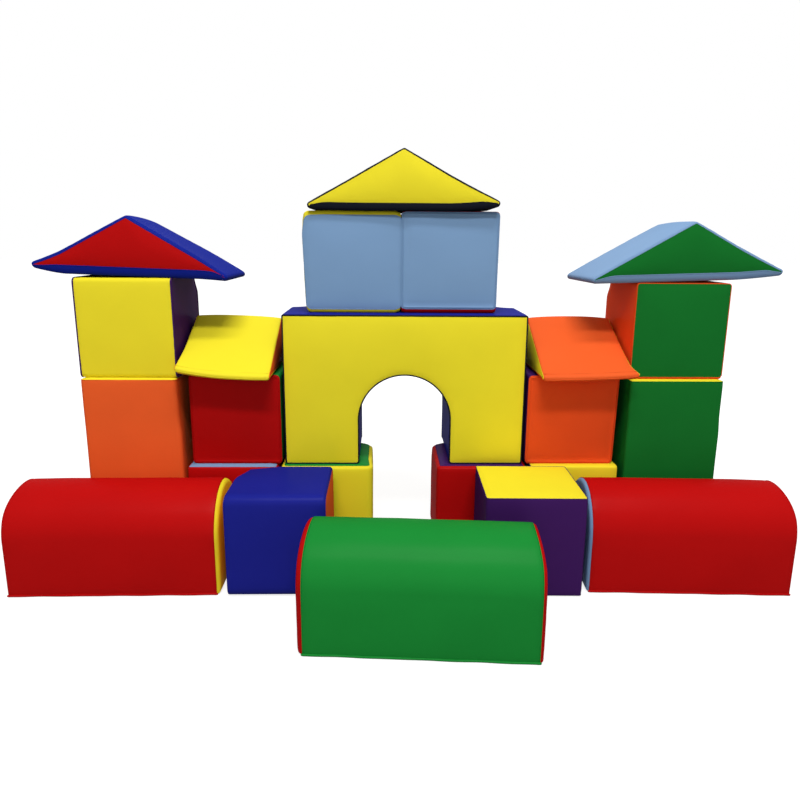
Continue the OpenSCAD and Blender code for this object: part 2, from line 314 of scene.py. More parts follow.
def roundLoop(corners, step):
    # closed outline with a fillet at each corner: points, outward normals and the run along each side
    points, normals, runs = [], [], []
    count = len(corners)
    arcs = []
    for k in range(count):
        before, here, after = (Vector(corners[(k + d) % count][:2]) for d in (-1, 0, 1))
        radius = corners[k][2]
        along, onward = (here - before).normalized(), (after - here).normalized()
        turn = math.atan2(along.x * onward.y - along.y * onward.x, along.dot(onward))
        side = 1 if turn > 0 else -1
        start = here - along * (radius * math.tan(abs(turn) / 2))
        centre = start + Vector((-along.y, along.x)) * radius * side
        bits = max(sewing["foldBits"], round(abs(turn) * radius / step))
        heading = math.atan2(along.y, along.x) - math.pi / 2
        arc = []
        for j in range(bits + 1):
            angle = heading + turn * j / bits
            out = Vector((math.cos(angle), math.sin(angle)))
            arc.append((centre + out * radius * side, out))
        arcs.append(arc)
    for k, arc in enumerate(arcs):
        for point, out in arc:
            points.append(point)
            normals.append(out)
            runs.append(0.0)
        last, following = arc[-1], arcs[(k + 1) % count][0]
        bits = max(1, round((following[0] - last[0]).length / step))
        for j in range(1, bits):
            points.append(last[0].lerp(following[0], j / bits))
            normals.append(last[1])
            runs.append(j / bits)
    kept = [k for k in range(len(points)) if (points[k] - points[k - 1]).length > 1e-6]
    return (np.array([points[k] for k in kept]), np.array([normals[k] for k in kept]),
            np.array([runs[k] for k in kept]))


def outlineOf(kind, ends, edge):
    # corners of a block's outline, each with the radius of its fillet
    form = forms[kind]
    half = form["width"] / 2 - sewing["swell"]
    top = form["height"]
    apart = 1e-5  # keeps the two fillets of a round head from meeting
    if ends == "z":
        return [(-half, -half, edge), (half, -half, edge), (half, half, edge), (-half, half, edge)]
    if kind == "halfRound":
        full, foot = form["width"] / 2, form["foot"]
        return [(-full, 0, foot), (full, 0, foot), (full, top, full - apart), (-full, top, full - apart)]
    if kind == "roof":
        toe = form["toe"]
        inner = form["width"] / 2 - toe
        slope = math.atan2(top - 2 * toe, inner)
        reach = inner + toe / math.tan(slope / 2)
        return [(-reach, 0, toe), (reach, 0, toe), (0, top - toe + toe / math.cos(slope), toe)]
    if kind == "arch":
        door, head, foot = form["door"] / 2, form["doorHeight"], form["foot"]
        return [(-half, 0, edge), (-door, 0, foot), (-door, head, door - apart), (door, head, door - apart),
                (door, 0, foot), (half, 0, edge), (half, top, edge), (-half, top, edge)]
    return [(-half, 0, edge), (half, 0, edge), (half, top, edge), (-half, top, edge)]


def insideLoop(spots, loop):
    # even-odd test of many spots at once
    inside = np.zeros(len(spots), bool)
    ahead = np.roll(loop, -1, axis=0)
    for (x0, y0), (x1, y1) in zip(loop, ahead):
        if y0 == y1:
            continue
        crosses = (spots[:, 1] > y0) != (spots[:, 1] > y1)
        inside ^= crosses & (spots[:, 0] < x0 + (spots[:, 1] - y0) * (x1 - x0) / (y1 - y0))
    return inside


def distanceTo(spots, loop):
    best = np.full(len(spots), 1e9)
    ahead = np.roll(loop, -1, axis=0)
    for a, b in zip(loop, ahead):
        run = b - a
        t = np.clip(((spots - a) @ run) / max(run @ run, 1e-12), 0, 1)
        best = np.minimum(best, np.hypot(*(spots - a - t[:, None] * run).T))
    return best


def membrane(loop, cell=0.006, passes=900, push=0.01):
    # height of a sheet held at its rim and pressed out from behind, one at its highest
    low = loop.min(0) - cell
    high = loop.max(0) + cell
    across = np.arange(low[0], high[0] + cell, cell)
    upward = np.arange(low[1], high[1] + cell, cell)
    gridX, gridY = np.meshgrid(across, upward, indexing="ij")
    mask = insideLoop(np.column_stack([gridX.ravel(), gridY.ravel()]), loop).reshape(gridX.shape)
    rise = np.zeros(gridX.shape)
    for _ in range(passes):
        near = np.zeros_like(rise)
        near[1:-1, 1:-1] = (rise[2:, 1:-1] + rise[:-2, 1:-1] + rise[1:-1, 2:] + rise[1:-1, :-2]) / 4
        rise = np.where(mask, near + push, 0)
    rise /= rise.max()

    def height(spots):
        x = np.clip((spots[:, 0] - low[0]) / cell, 0, len(across) - 1.001)
        y = np.clip((spots[:, 1] - low[1]) / cell, 0, len(upward) - 1.001)
        i, j = x.astype(int), y.astype(int)
        s, t = x - i, y - j
        return (rise[i, j] * (1 - s) * (1 - t) + rise[i + 1, j] * s * (1 - t)
                + rise[i, j + 1] * (1 - s) * t + rise[i + 1, j + 1] * s * t)

    return height


def waver(spots, scale, seed):
    # noise at each spot, from a place of its own for each seed
    return np.array([noise.noise(Vector((x * scale + seed * 7.31, y * scale - seed * 3.17, z * scale)))
                     for x, y, z in spots])


def meshPiece(name, spots, faces, vinyl, place, seams):
    mesh = bpy.data.meshes.new(name)
    mesh.from_pydata([tuple(spot) for spot in spots], [], faces)
    mesh.polygons.foreach_set("use_smooth", [True] * len(mesh.polygons))
    shade = mesh.attributes.new("seam", "FLOAT", "POINT")
    shade.data.foreach_set("value", seams)
    mesh.materials.append(vinyl)
    piece = bpy.data.objects.new(name, mesh)
    bpy.context.scene.collection.objects.link(piece)
    piece.matrix_world = place
    return piece


def placeOf(name, look):
    # middle of the block's base in the frame, with its end axis turned from Z
    low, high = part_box(name + "_cover")
    base = Matrix.Translation(((low.x + high.x) / 2, (low.y + high.y) / 2, low.z))
    turn = Matrix.Rotation(math.radians(look.get("turn", 0)), 4, "Z")
    if look["ends"] == "z":
        return base @ turn @ Matrix.Translation((0, 0, forms[look["form"]]["height"] / 2))
    tip = Matrix.Rotation(math.pi / 2, 4, "X")
    if look["ends"] == "x":
        tip = Matrix.Rotation(math.pi / 2, 4, "Z") @ tip
    return base @ turn @ tip


def smoothRound(values, passes):
    for _ in range(passes):
        values = (np.roll(values, 1) + 2 * values + np.roll(values, -1)) / 4
    return values


# how soft blocks give, in metres and shares
giving = {
    "cheekStart": 0.6, "cheekSlope": 2.8,    # cheeks bulge over the front part of a block's depth
    "tallFrom": 0.5,                         # on a block taller than this, less near its top
    "cheekTop": 0.10, "cheekFade": 0.08, "cheekLeast": 0.25,
    "bend": 1.5,                             # ridges and toes bend more towards their ends
    "bearing": 0.14,                         # a roof is carried this far out from its middle
    "toeMost": 1.1,
    "noseStart": 0.235, "noseWidth": 0.065,  # the part of a toe that flares
}


def settle(spots, look):
    # a soft block gives: ends stretch, sides reach out, cheeks bulge near the front, feet draw in and
    # corners soften, and a roof's ridge droops, its toes curl and flare and it tilts as a whole
    form = forms[look["form"]]
    half = form["width"] / 2
    spots = spots.copy()
    along = np.clip(spots[:, 2] / form["length"] + 0.5, 0, 1)
    upper = np.clip(spots[:, 1] / form["height"], 0, 1)
    back, front = look.get("stretch", (0, 0))
    spots[:, 2] += front * np.clip(2 * along - 1, 0, 1) - back * np.clip(1 - 2 * along, 0, 1)
    leftward, rightward = np.clip(-spots[:, 0] / half, 0, 1), np.clip(spots[:, 0] / half, 0, 1)
    nearFront = np.clip(-giving["cheekStart"] - giving["cheekSlope"] * spots[:, 1] / form["width"], 0, 1)
    if form["height"] > giving["tallFrom"]:
        below = (form["height"] / 2 - giving["cheekTop"] - spots[:, 2]) / giving["cheekFade"]
        nearFront = nearFront * np.clip(below, giving["cheekLeast"], 1)
    for key, share in (("reach", 1), ("cheeks", nearFront), ("foot", upper - 1)):
        left, right = look.get(key, (0, 0))
        spots[:, 0] += share * (right * rightward - left * leftward)
    for corner in look.get("softCorners", ()):
        away = np.linalg.norm(spots - np.array(corner["at"]), axis=1)
        spots += np.clip(1 - (away / corner["over"]) ** 2, 0, 1)[:, None] ** 2 * np.array(corner["move"])
    spots[:, 1] *= look.get("tall", 1)
    if look["form"] != "roof":
        return spots
    back, front = look.get("ridge", (0, 0))
    spots[:, 1] -= upper * (back * (1 - along) ** giving["bend"] + front * along ** giving["bend"])
    bearing, curl = look.get("bearing", giving["bearing"]), look.get("curl", 1)
    for side, (back, front) in zip((-1, 1), look.get("toes", ((0, 0), (0, 0)))):
        free = np.clip((side * spots[:, 0] - bearing) / (half - bearing), 0, giving["toeMost"])
        spots[:, 1] += (back * (1 - along) ** curl + front * along ** curl) * free ** giving["bend"]
    nose = np.clip((-spots[:, 0] - giving["noseStart"]) / giving["noseWidth"], 0, 1)
    spots[:, 2] += look.get("flare", 0) * nose ** 2 * along ** 4
    spots[:, 0] = spots[:, 0] * look.get("wide", 1) + look.get("shift", 0) + look.get("lean", 0) * upper
    tilt, pivot = look.get("tilt", (0, 0))
    spots[:, 1] += (spots[:, 0] - pivot) * math.tan(math.radians(tilt)) + look.get("lift", 0)
    return spots


def drawnIn(points, look):
    # how far each point of a block's outline lies from its panel's rim, with a set width on each side
    insets = look.get("insets", {})
    sides = {side: insets.get(side, sewing["inset"]) for side in ("left", "base", "right", "top")}
    sides.update(dict.fromkeys(look.get("snug", ()), 0))
    low, high = points.min(0), points.max(0)
    rimLow = low + (sides["left"], sides["base"])
    rimHigh = high - (sides["right"], sides["top"])
    return points - rimLow - (points - low) * (rimHigh - rimLow) / (high - low)


# the band between its two seams, in metres and shares
banding = {
    "facing": 0.7, "underFacing": 0.5,  # a side faces a way if its normal points there by this share
    "plateau": 0.7,                     # lower is fuller near the folds
    "seamSwell": 0.35,                  # share of the swell that is left at the seams
    "swellPower": 5,                    # higher keeps more of it up to there
    "rollLeast": 0.004,                 # radius of the fold over to the seam
    "rollShare": 0.85,                  # or this share of the seam's inset
    "rollTurns": 6, "rowsLeast": 8,
    "archPasses": 4, "roofPasses": 3,   # the inset is smoothed round the corners
    "rim": 0.004,                       # a roof's seam lies this far in from its slopes
    "strip": 0.016,                     # its base wraps up this far
    "tips": (0.5, 0.5),                 # or by this share of a toe's thickness
    "rimRoom": 1.15, "slit": 0.0012,    # and leaves this room for the rim and the panel
    "stripRoll": 0.012, "rimRoll": 0.001,
    "lumps": (9, 0.0010),               # scale and depth
    "gathers": (62, 0.0010, 0.016),     # scale, depth and length
    "gatherRun": 0.2,                   # lower makes them straighter
}


def seamInset(points, normals, look):
    # how far the seam is drawn in from each point of the outline, and the radius of the fold to it
    kind = look["form"]
    if kind == "roof":
        # the base wraps up as a strip below the panel, which runs out into the toes
        form = forms[kind]
        toe, rimWidth = form["toe"], look.get("rim", banding["rim"])
        inwards = np.clip(1 - np.abs(points[:, 0]) / (form["width"] / 2 - toe), 0, 1)
        thick = 2 * toe + (form["height"] - 2 * toe) * inwards
        left, right = look.get("tips", banding["tips"])
        strip = np.minimum(look.get("strip", banding["strip"]), np.where(points[:, 0] < 0, left, right) * thick)
        strip = np.minimum(strip, thick - banding["rimRoom"] * rimWidth - banding["slit"])
        under = normals[:, 1] < -banding["underFacing"]
        fold = np.where(under, np.minimum(banding["stripRoll"], strip), rimWidth + banding["rimRoll"])
        inward = smoothRound(np.where(under, strip, rimWidth), banding["roofPasses"])
        return normals * inward[:, None], smoothRound(fold, banding["roofPasses"])
    if kind == "arch":
        width = np.where(normals[:, 1] > banding["facing"], look["lintel"], sewing["inset"])
        inward = normals * smoothRound(width, banding["archPasses"])[:, None]
    elif kind == "halfRound" or look["ends"] == "z":
        inward = normals * look.get("inset", sewing["inset"])
    else:
        inward = drawnIn(points, look)
    return inward, np.maximum(banding["rollLeast"], np.hypot(*inward.T) * banding["rollShare"])


def ringFaces(rings, count, closed=False):
    # faces between rings of points that follow each other
    faces = []
    for j in range(rings if closed else rings - 1):
        here, onward = j * count, (j + 1) % rings * count
        for i in range(count):
            n = (i + 1) % count
            faces.append((here + i, here + n, onward + n, onward + i))
    return faces


def bandMesh(loop, look):
    # sleeve of vinyl wrapped round the foam, rolled over towards the seam at both ends
    points, normals, runs = loop
    kind, ends, seed = look["form"], look["ends"], look["seed"]
    form = forms[kind]
    count = len(points)
    edgeW = form["length"] / 2 - sewing["crown"]
    if ends == "z":
        edgeW = form["height"] / 2 - sewing["shoulder"]
    nowhere = np.zeros(count, bool)
    facing = banding["facing"]
    boxy = ends != "z" and kind not in ("halfRound", "roof")
    flatBase = normals[:, 1] < -facing if ends != "z" else nowhere
    flatTop = normals[:, 1] > facing if boxy and not look.get("freeTop") else nowhere
    fullest = look.get("slopeSwell", sewing["slopeSwell"]) if kind == "roof" else sewing["swell"]
    plateau = look.get("plateau", banding["plateau"])
    swell = np.where(flatBase | flatTop, 0.0, fullest) * (4 * runs * (1 - runs)) ** plateau
    snug = nowhere.copy()
    for side in look.get("snug", ()):
        snug |= normals[:, 0] * (1 if side == "right" else -1) > facing
    swell = np.where(snug, sewing["swell"], swell)
    inward, roll = seamInset(points, normals, look)

    # rows from one seam to the other, each with its share of the inset
    turns = np.linspace(math.pi / 2, 0, banding["rollTurns"])
    folds = [(edgeW - roll * (1 - math.sin(turn)), 1 - math.cos(turn)) for turn in turns]
    inner = max(banding["rowsLeast"], round(2 * edgeW / sewing["step"]))
    rows = [(-w, share) for w, share in folds]
    rows += [((2 * j / inner - 1) * (edgeW - roll), 0) for j in range(1, inner)]
    rows += folds[::-1]
    lumpScale, lumpDepth = banding["lumps"]
    gatherScale, gatherDepth, gatherLength = banding["gathers"]
    spots, shades = [], []
    for w, share in rows:
        w = np.broadcast_to(w, (count,))
        fromSeam = edgeW - np.abs(w)
        lengthwise = 1 - np.abs(w / edgeW) ** banding["swellPower"]
        push = swell * np.where(snug, 1, banding["seamSwell"] + (1 - banding["seamSwell"]) * lengthwise)
        push = push - sewing["tuck"] * np.exp(-fromSeam / sewing["tuckFade"]) * ~flatBase * ~snug
        ring = points + normals * push[:, None] - inward * share
        ring3 = np.column_stack([ring, w])
        lumps = waver(ring3, lumpScale, seed) * lumpDepth * ~flatBase * ~flatTop
        gathers = waver(ring3 * (1, 1, banding["gatherRun"]), gatherScale, seed + seedSteps["bandGathers"])
        gathers = gathers * gatherDepth * np.exp(-fromSeam / gatherLength) * ~flatBase
        ring3[:, :2] += normals * (lumps + gathers)[:, None]
        if kind == "roof":
            upper = np.clip(ring[:, 1] / form["height"], 0, 1)
            ring3[:, 1] += look.get("bow", sewing["ridgeBow"]) * (1 - (w / edgeW) ** 2) * upper
        spots.append(ring3)
        shades.append(sewing["dirt"] * np.exp(-fromSeam / sewing["bandDirt"]))
    rim = points + normals * np.where(snug, swell, 0)[:, None] - inward
    return np.concatenate(spots), ringFaces(len(rows), count), np.concatenate(shades), rim, edgeW


# rings along an end panel's border, as distances in from its seam, and shares of the step for the rest
panelCut = {
    "hem": (0, 0.001, 0.0022, 0.0034),
    "flange": (0.0048, 0.0062, 0.0078, 0.0095),
    "round": (0.0052, 0.0075, 0.0105, 0.0140),
    "cell": 0.85,
    "clear": 0.6,
}


def panelMesh(rim, normals, look):
    # flat sheet cut to the rim, with rings along its border; the details are added after it has swollen
    count = len(rim)
    offsets = list(panelCut["hem"])
    for key in ("flange", "round"):
        if look.get(key):
            offsets += panelCut[key]
    rings = [rim - normals * off for off in offsets]
    border = rings[-1]
    step = sewing["step"] * panelCut["cell"]
    low, high = border.min(0), border.max(0)
    across = np.arange(low[0] + step / 2, high[0], step)
    upward = np.arange(low[1] + step / 2, high[1], step)
    gridX, gridY = np.meshgrid(across, upward)
    grid = np.column_stack([gridX.ravel(), gridY.ravel()])
    grid = grid[insideLoop(grid, border)]
    grid = grid[distanceTo(grid, border) > step * panelCut["clear"]]
    plan = [Vector(p) for p in border] + [Vector(p) for p in grid]
    hem = [(i, (i + 1) % count) for i in range(count)]
    flat, _, tris, origins, _, _ = delaunay_2d_cdt(plan, hem, [list(range(count))], 1, 1e-7)
    flat = np.array([tuple(p) for p in flat])
    ringSpots = np.concatenate(rings[:-1])
    plane = np.concatenate([ringSpots, flat])
    base = len(ringSpots)
    start = {corner: k for k, origin in enumerate(origins) for corner in origin if corner < count}
    lookup = [base + start[i] for i in range(count)]
    faces = ringFaces(len(rings) - 1, count)
    last = base - count
    for i in range(count):
        n = (i + 1) % count
        faces.append((last + i, last + n, lookup[n], lookup[i]))
    faces += [tuple(base + v for v in tri) for tri in tris]
    away = distanceTo(plane, rim)
    away[:count] = 0
    return plane, faces, away, base


def quarterRound(away, reach):
    return np.sqrt(1 - np.clip(1 - away / reach, 0, 1) ** 2)


def panelRise(plane, away, height, crown, rounded):
    # a carrying panel is pressed flat inside its shoulder, a free one is a pillow
    if crown == 0:
        return sewing["shoulder"] * quarterRound(away, sewing["shoulderReach"])
    rise = np.clip(height(plane), 0, 1) ** sewing["fullness"] * crown
    rise = rise * (1 - np.exp(-away / sewing["crownStart"]))
    if rounded:
        rise += rounded * quarterRound(away, rounded)
    return rise


# small forms of an end panel, in metres from its seam
creases = {
    "pressed": (30, 0.0008, 0.012, 0.003),  # puckers: scale, depth, length and start
    "gathers": (55, 0.0010, 0.018, 0.004),
    "lumps": (8, 0.0012, 0.03),             # scale, depth and start
    "ridge": (0.0045, 0.0028),              # seam allowance under the vinyl: place and width
    "dip": (0.0095, 0.0018),                # and the dip beyond its edge
    "dipShare": 0.8,
}


def puckers(spots, away, seed, scale, depth, length, start):
    return waver(spots, scale, seed) * depth * np.exp(-away / length) * np.clip(away / start, 0, 1)


def panelDetail(plane, away, look, seed, crown):
    # gathers at the seam and the ridge of the seam allowance under the vinyl
    spots = np.column_stack([plane, np.zeros(len(plane))])
    if crown == 0:
        return puckers(spots, away, seed, *creases["pressed"])
    scale, depth, start = creases["lumps"]
    rise = waver(spots, scale, seed) * depth * np.clip(away / start, 0, 1)
    rise += puckers(spots, away, seed + seedSteps["panelGathers"], *creases["gathers"])
    flange = look.get("flange", 0.0)
    ridge, dip = (np.exp(-((away - creases[key][0]) / creases[key][1]) ** 2) for key in ("ridge", "dip"))
    return rise + flange * ridge - flange * creases["dipShare"] * dip


def pipeMesh(path, radii, closed, sides=8):
    # thin round roll along a path
    path = np.asarray(path, float)
    count = len(path)
    radii = np.broadcast_to(radii, (count,))
    steep = 0.9
    spots = []
    for i in range(count):
        before = path[i - 1] if closed or i else path[i]
        after = path[(i + 1) % count] if closed or i < count - 1 else path[i]
        along = Vector(after - before).normalized()
        aside = Vector((0, 0, 1)) if abs(along.z) < steep else Vector((1, 0, 0))
        first = along.cross(aside).normalized()
        second = along.cross(first)
        for k in range(sides):
            angle = 2 * math.pi * k / sides
            out = first * math.cos(angle) + second * math.sin(angle)
            spots.append(Vector(path[i]) + out * float(radii[i]))
    faces = ringFaces(count, sides, closed)
    if not closed:
        faces.append(tuple(reversed(range(sides))))
        faces.append(tuple((count - 1) * sides + k for k in range(sides)))
    return np.array([tuple(spot) for spot in spots]), faces


def joined(parts):
    # one mesh from several
    spots, faces, start = [], [], 0
    for partSpots, partFaces in parts:
        spots.append(partSpots)
        faces += [tuple(start + v for v in face) for face in partFaces]
        start += len(partSpots)
    return np.concatenate(spots), faces


def mirrored(spots, faces):
    flipped = spots.copy()
    flipped[:, 2] *= -1
    return flipped, [tuple(reversed(face)) for face in faces]


def bothEnds(spots, faces):
    # a mesh at one end of a block, and its mirror image at the other
    return joined([(spots, faces), mirrored(spots, faces)])


stitching = {"pitch": 0.0060, "in": 0.0046, "half": 0.0019, "lift": 0.0002,
             "radii": (0.0003, 0.0006, 0.0003), "sides": 6}


def stitchRow(rim, normals, look, edgeW, height, crown):
    # topstitching a fixed way in from the rim, on the swollen panel
    line = rim - normals * stitching["in"]
    steps = np.roll(line, -1, axis=0) - line
    gaps = np.hypot(*steps.T)
    along = np.concatenate([[0], np.cumsum(gaps)])
    count = int(along[-1] / stitching["pitch"])
    marks = (np.arange(count) + 0.5) * along[-1] / count
    ring = np.vstack([line, line[:1]])
    places = np.column_stack([np.interp(marks, along, ring[:, 0]), np.interp(marks, along, ring[:, 1])])
    k = np.clip(np.searchsorted(along, marks) - 1, 0, len(line) - 1)
    ways = steps[k] / gaps[k][:, None]
    depth = distanceTo(places, rim)
    up = edgeW + panelRise(places, depth, height, crown, None)
    up += panelDetail(places, depth, look, look["seed"] + seedSteps["a"], crown)
    half = stitching["half"]
    stitches = []
    for (x, y), (dx, dy), z in zip(places, ways, up):
        run = [(x + dx * t, y + dy * t, z + stitching["lift"]) for t in (-half, 0, half)]
        stitches.append(pipeMesh(run, stitching["radii"], False, stitching["sides"]))
    return joined(stitches)


def addTrim(name, look, spots, faces, colour, place, body):
    shade = np.full(len(spots), sewing["trimDirt"])
    trim = meshPiece(name, settle(spots, look), faces, vinylOf[colour], place, shade)
    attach(trim, body)


# waves are depth and rate
lipShape = {
    "past": 0.004, "earStep": 0.002, "earRoot": 0.012, "earRadii": (0.0016, 0.0030, 0.0036),
    "bits": 40, "radius": 0.0033, "height": 0.0042, "heightWave": (0.0004, 53),
    "in": 0.0002, "sideWave": (0.0006, 37),
}


def baseLips(kind, edgeW, look):
    # seam lip along both lower edges of a half-round, with a pinched ear at each corner
    half = forms[kind]["width"] / 2
    reach = edgeW + look["past"]
    straight = edgeW - look["earRoot"]
    ear = [reach, reach - look["earStep"], edgeW - look["earStep"]]
    runs = np.concatenate([[-w for w in ear], np.linspace(-straight, straight, look["bits"]), ear[::-1]])
    radii = [*look["earRadii"], *[look["radius"]] * look["bits"], *look["earRadii"][::-1]]
    sideDepth, sideRate = look["sideWave"]
    upDepth, upRate = look["heightWave"]
    parts = []
    for side in (-1, 1):
        path = [(side * (half - look["in"] + sideDepth * math.sin(w * sideRate + side)),
                 look["height"] + upDepth * math.sin(w * upRate), w) for w in runs]
        parts.append(pipeMesh(path, radii, False))
    return joined(parts)


toeLipShape = {
    "short": 0.004, "bits": 28, "wave": (0.0004, 61), "waveShift": 900,
    "noseIn": 0.0012, "noseUp": 0.0062, "noseRadius": 0.0015, "slopeIn": 0.0125, "slopeRadius": 0.0021,
}


def toeLips(kind, edgeW, look):
    # two seam rolls along the front toe of a lean-to, one at its nose and one up its slope
    form = forms[kind]
    tip, toe = form["width"] / 2, form["toe"]
    slope = math.atan2(form["height"] - 2 * toe, tip - toe)
    slopeUp = toe * (1 + math.cos(slope)) + (look["slopeIn"] - toe * (1 - math.sin(slope))) * math.tan(slope)
    runs = np.linspace(-edgeW + look["short"], edgeW - look["short"], look["bits"])
    depth, rate = look["wave"]
    parts = []
    for line, up in (("nose", look["noseUp"]), ("slope", slopeUp)):
        path = [(-tip + look[line + "In"], up + depth * math.sin(w * rate + up * look["waveShift"]), w)
                for w in runs]
        parts.append(pipeMesh(path, look[line + "Radius"], False))
    return joined(parts)


# free panels swell against their seams as cloth under pressure from the foam
swelling = {"start": 0.82, "pressure": 4, "frames": 20, "quality": 5, "most": 0.0018}
panels = []


def coverBlock(name, look):
    # one block's cover: its band, end panels and seam rolls, and any stitches and lips
    kind, ends = look["form"], look["ends"]
    loop = roundLoop(outlineOf(kind, ends, look.get("edge", sewing["edge"])), sewing["step"])
    normals = loop[1]
    place = placeOf(name, look)
    spots, faces, seams, rim, edgeW = bandMesh(loop, look)
    band = meshPiece(name + "_band", settle(spots, look), faces, vinylOf[look["band"]], place, seams)
    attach(band, name)
    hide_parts(name + "_core", name + "_cover")

    height = membrane(rim)
    crowns = dict.fromkeys("ab", look.get("crown", sewing["crown"]))
    rounds = look.get("round", {})
    crowns.update(dict.fromkeys(rounds, sewing["roundCrown"]))
    if ends == "z":
        crowns = {"a": look.get("dome", 0), "b": 0}
    plane, sheet, away, hem = panelMesh(rim, normals, look)
    shade = sewing["dirt"] * np.exp(-away / sewing["panelDirt"])
    for end, crown in crowns.items():
        rise = panelRise(plane, away, height, crown, rounds.get(end))
        detail = panelDetail(plane, away, look, look["seed"] + seedSteps[end], crown)
        spots = np.column_stack([plane, edgeW + rise * (swelling["start"] if crown else 1)])
        faces = sheet
        if end == "b":
            spots, faces = mirrored(spots, faces)
            detail = -detail
        vinyl = vinylOf[look["panels"]]
        panel = meshPiece(f"{name}_end_{end}", settle(spots, look), faces, vinyl, place, shade)
        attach(panel, name)
        panels.append({"piece": panel, "hem": hem, "detail": detail, "free": crown > 0})

    weltSize = look.get("weltSize", sewing["welt"])
    weltAt = np.full(len(rim), edgeW - weltSize * sewing["weltBack"])
    welt = pipeMesh(np.column_stack([rim + normals * sewing["weltOut"], weltAt]), weltSize, True)
    addTrim(name + "_welts", look, *bothEnds(*welt), look.get("welt", look["band"]), place, name)
    if look.get("stitched"):
        row = stitchRow(rim, normals, look, edgeW, height, crowns["a"])
        addTrim(name + "_stitches", look, *bothEnds(*row), look["panels"], place, name)
    if kind == "halfRound":
        addTrim(name + "_base_lips", look, *baseLips(kind, edgeW, lipShape), look["band"], place, name)
    if look.get("lips"):
        addTrim(name + "_toe_lips", look, *toeLips(kind, edgeW, toeLipShape), look["band"], place, name)


def swellPanels(panels, look):
    scene = bpy.context.scene
    free = [panel for panel in panels if panel["free"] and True]
    for panel in free:
        piece = panel["piece"]
        piece.vertex_groups.new(name="hem").add(list(range(panel["hem"])), 1, "REPLACE")
        cloth = piece.modifiers.new("swell", "CLOTH")
        cloth.settings.vertex_group_mass = "hem"
        cloth.settings.use_pressure = True
        cloth.settings.uniform_pressure_force = look["pressure"]
        cloth.settings.effector_weights.gravity = 0
        cloth.settings.quality = look["quality"]
        cloth.collision_settings.use_collision = False
        cloth.point_cache.frame_start = 1
        cloth.point_cache.frame_end = look["frames"]
    if free:
        for step in range(1, look["frames"] + 1):
            scene.frame_set(step)
    graph = bpy.context.evaluated_depsgraph_get()
    most = 0
    for panel in panels:
        piece = panel["piece"]
        spots = np.empty(len(piece.data.vertices) * 3)
        piece.data.vertices.foreach_get("co", spots)
        spots = spots.reshape(-1, 3)
        if panel in free:
            swollen = piece.evaluated_get(graph).to_mesh()
            moved = np.empty(spots.size)
            swollen.vertices.foreach_get("co", moved)
            move = moved.reshape(-1, 3) - spots
            most = max(most, np.abs(move).max())
            spots = spots + move * min(1, look["most"] / max(np.linalg.norm(move, axis=1).max(), 1e-9))
        panel["shape"] = spots + np.column_stack([np.zeros((len(spots), 2)), panel["detail"]])
    for panel in panels:
        piece = panel["piece"]
        piece.modifiers.clear()
        piece.vertex_groups.clear()
        piece.data.vertices.foreach_set("co", panel["shape"].ravel())
        piece.data.update()
    if free:
        scene.frame_set(1)
    print("panels swollen:", len(free), "by up to", round(most * 1000, 2), "mm before the limit")


# in all looks below, the block's own axes end with the one that leaves through panel a,
# and a pair gives the low side of its axis first

# the first course, on the floor
gateLeftBase = {"form": "cube", "ends": "z", "band": "yellow", "panels": "green", "seed": 1,
                "edge": 0.024, "inset": 0.010, "cheeks": (0.0, 0.010), "reach": (0.0, 0.006),
                "softCorners": [{"at": (0.15, 0.15, 0.15), "over": 0.06, "move": (-0.004, -0.006, -0.008)}]}
gateRightBase = {"form": "cube", "ends": "z", "band": "red", "panels": "purple", "seed": 2,
                 "edge": 0.013, "inset": 0.010, "reach": (0.006, 0.0),
                 "softCorners": [{"at": (-0.15, 0.15, 0.15), "over": 0.06, "move": (0.006, -0.006, -0.008)}]}
leftWallBase = {"form": "cube", "ends": "z", "band": "red", "panels": "light_blue", "seed": 3,
                "inset": 0.004}
rightWallBase = {"form": "cube", "ends": "x", "band": "yellow", "panels": "blue", "seed": 4}
leftTowerColumn = {"form": "column", "ends": "z", "band": "orange", "panels": "yellow", "seed": 7,
                   "edge": 0.014, "cheeks": (0.0, 0.010)}
rightTowerColumn = {"form": "column", "ends": "z", "band": "deep_green", "panels": "yellow", "seed": 8,
                    "cheeks": (0.0, 0.007)}
coverBlock("gate_left_base", gateLeftBase)
coverBlock("gate_right_base", gateRightBase)
coverBlock("left_wall_base", leftWallBase)
coverBlock("right_wall_base", rightWallBase)
coverBlock("left_tower_column", leftTowerColumn)
coverBlock("right_tower_column", rightTowerColumn)
print("first course covered")

# the walls and towers
leftWallCube = {"form": "cube", "ends": "y", "band": "green", "panels": "red", "seed": 9,
                "edge": 0.012, "flange": 0.0010, "stitched": True, "welt": "red", "stretch": (0.0, 0.010)}
rightWallCube = {"form": "cube", "ends": "y", "band": "purple", "panels": "deep_orange", "seed": 10,
                 "edge": 0.012, "flange": 0.0014, "stitched": True, "welt": "deep_orange",
                 "stretch": (0.0, 0.010), "reach": (0.0, 0.006), "foot": (0.0, 0.006)}
leftTowerTop = {"form": "freeTowerCube", "ends": "x", "band": "yellow", "panels": "purple", "seed": 12,
                "edge": 0.014, "welt": "purple", "weltSize": 0.0030, "crown": 0.0015,
                "stretch": (0.004, 0.006),
                "softCorners": [{"at": (0.154, 0.314, 0.154), "over": 0.07,
                                 "move": (-0.010, -0.012, -0.006)}]}
rightTowerTop = {"form": "towerCube", "ends": "y", "band": "deep_orange", "panels": "deep_green", "seed": 13,
                 "tall": 1.028, "insets": {"base": 0.006},
                 "softCorners": [{"at": (-0.154, 0.300, -0.154), "over": 0.07,
                                  "move": (0.008, -0.010, 0.006)}]}
coverBlock("left_wall_cube", leftWallCube)
coverBlock("right_wall_cube", rightWallCube)
coverBlock("left_tower_top", leftTowerTop)
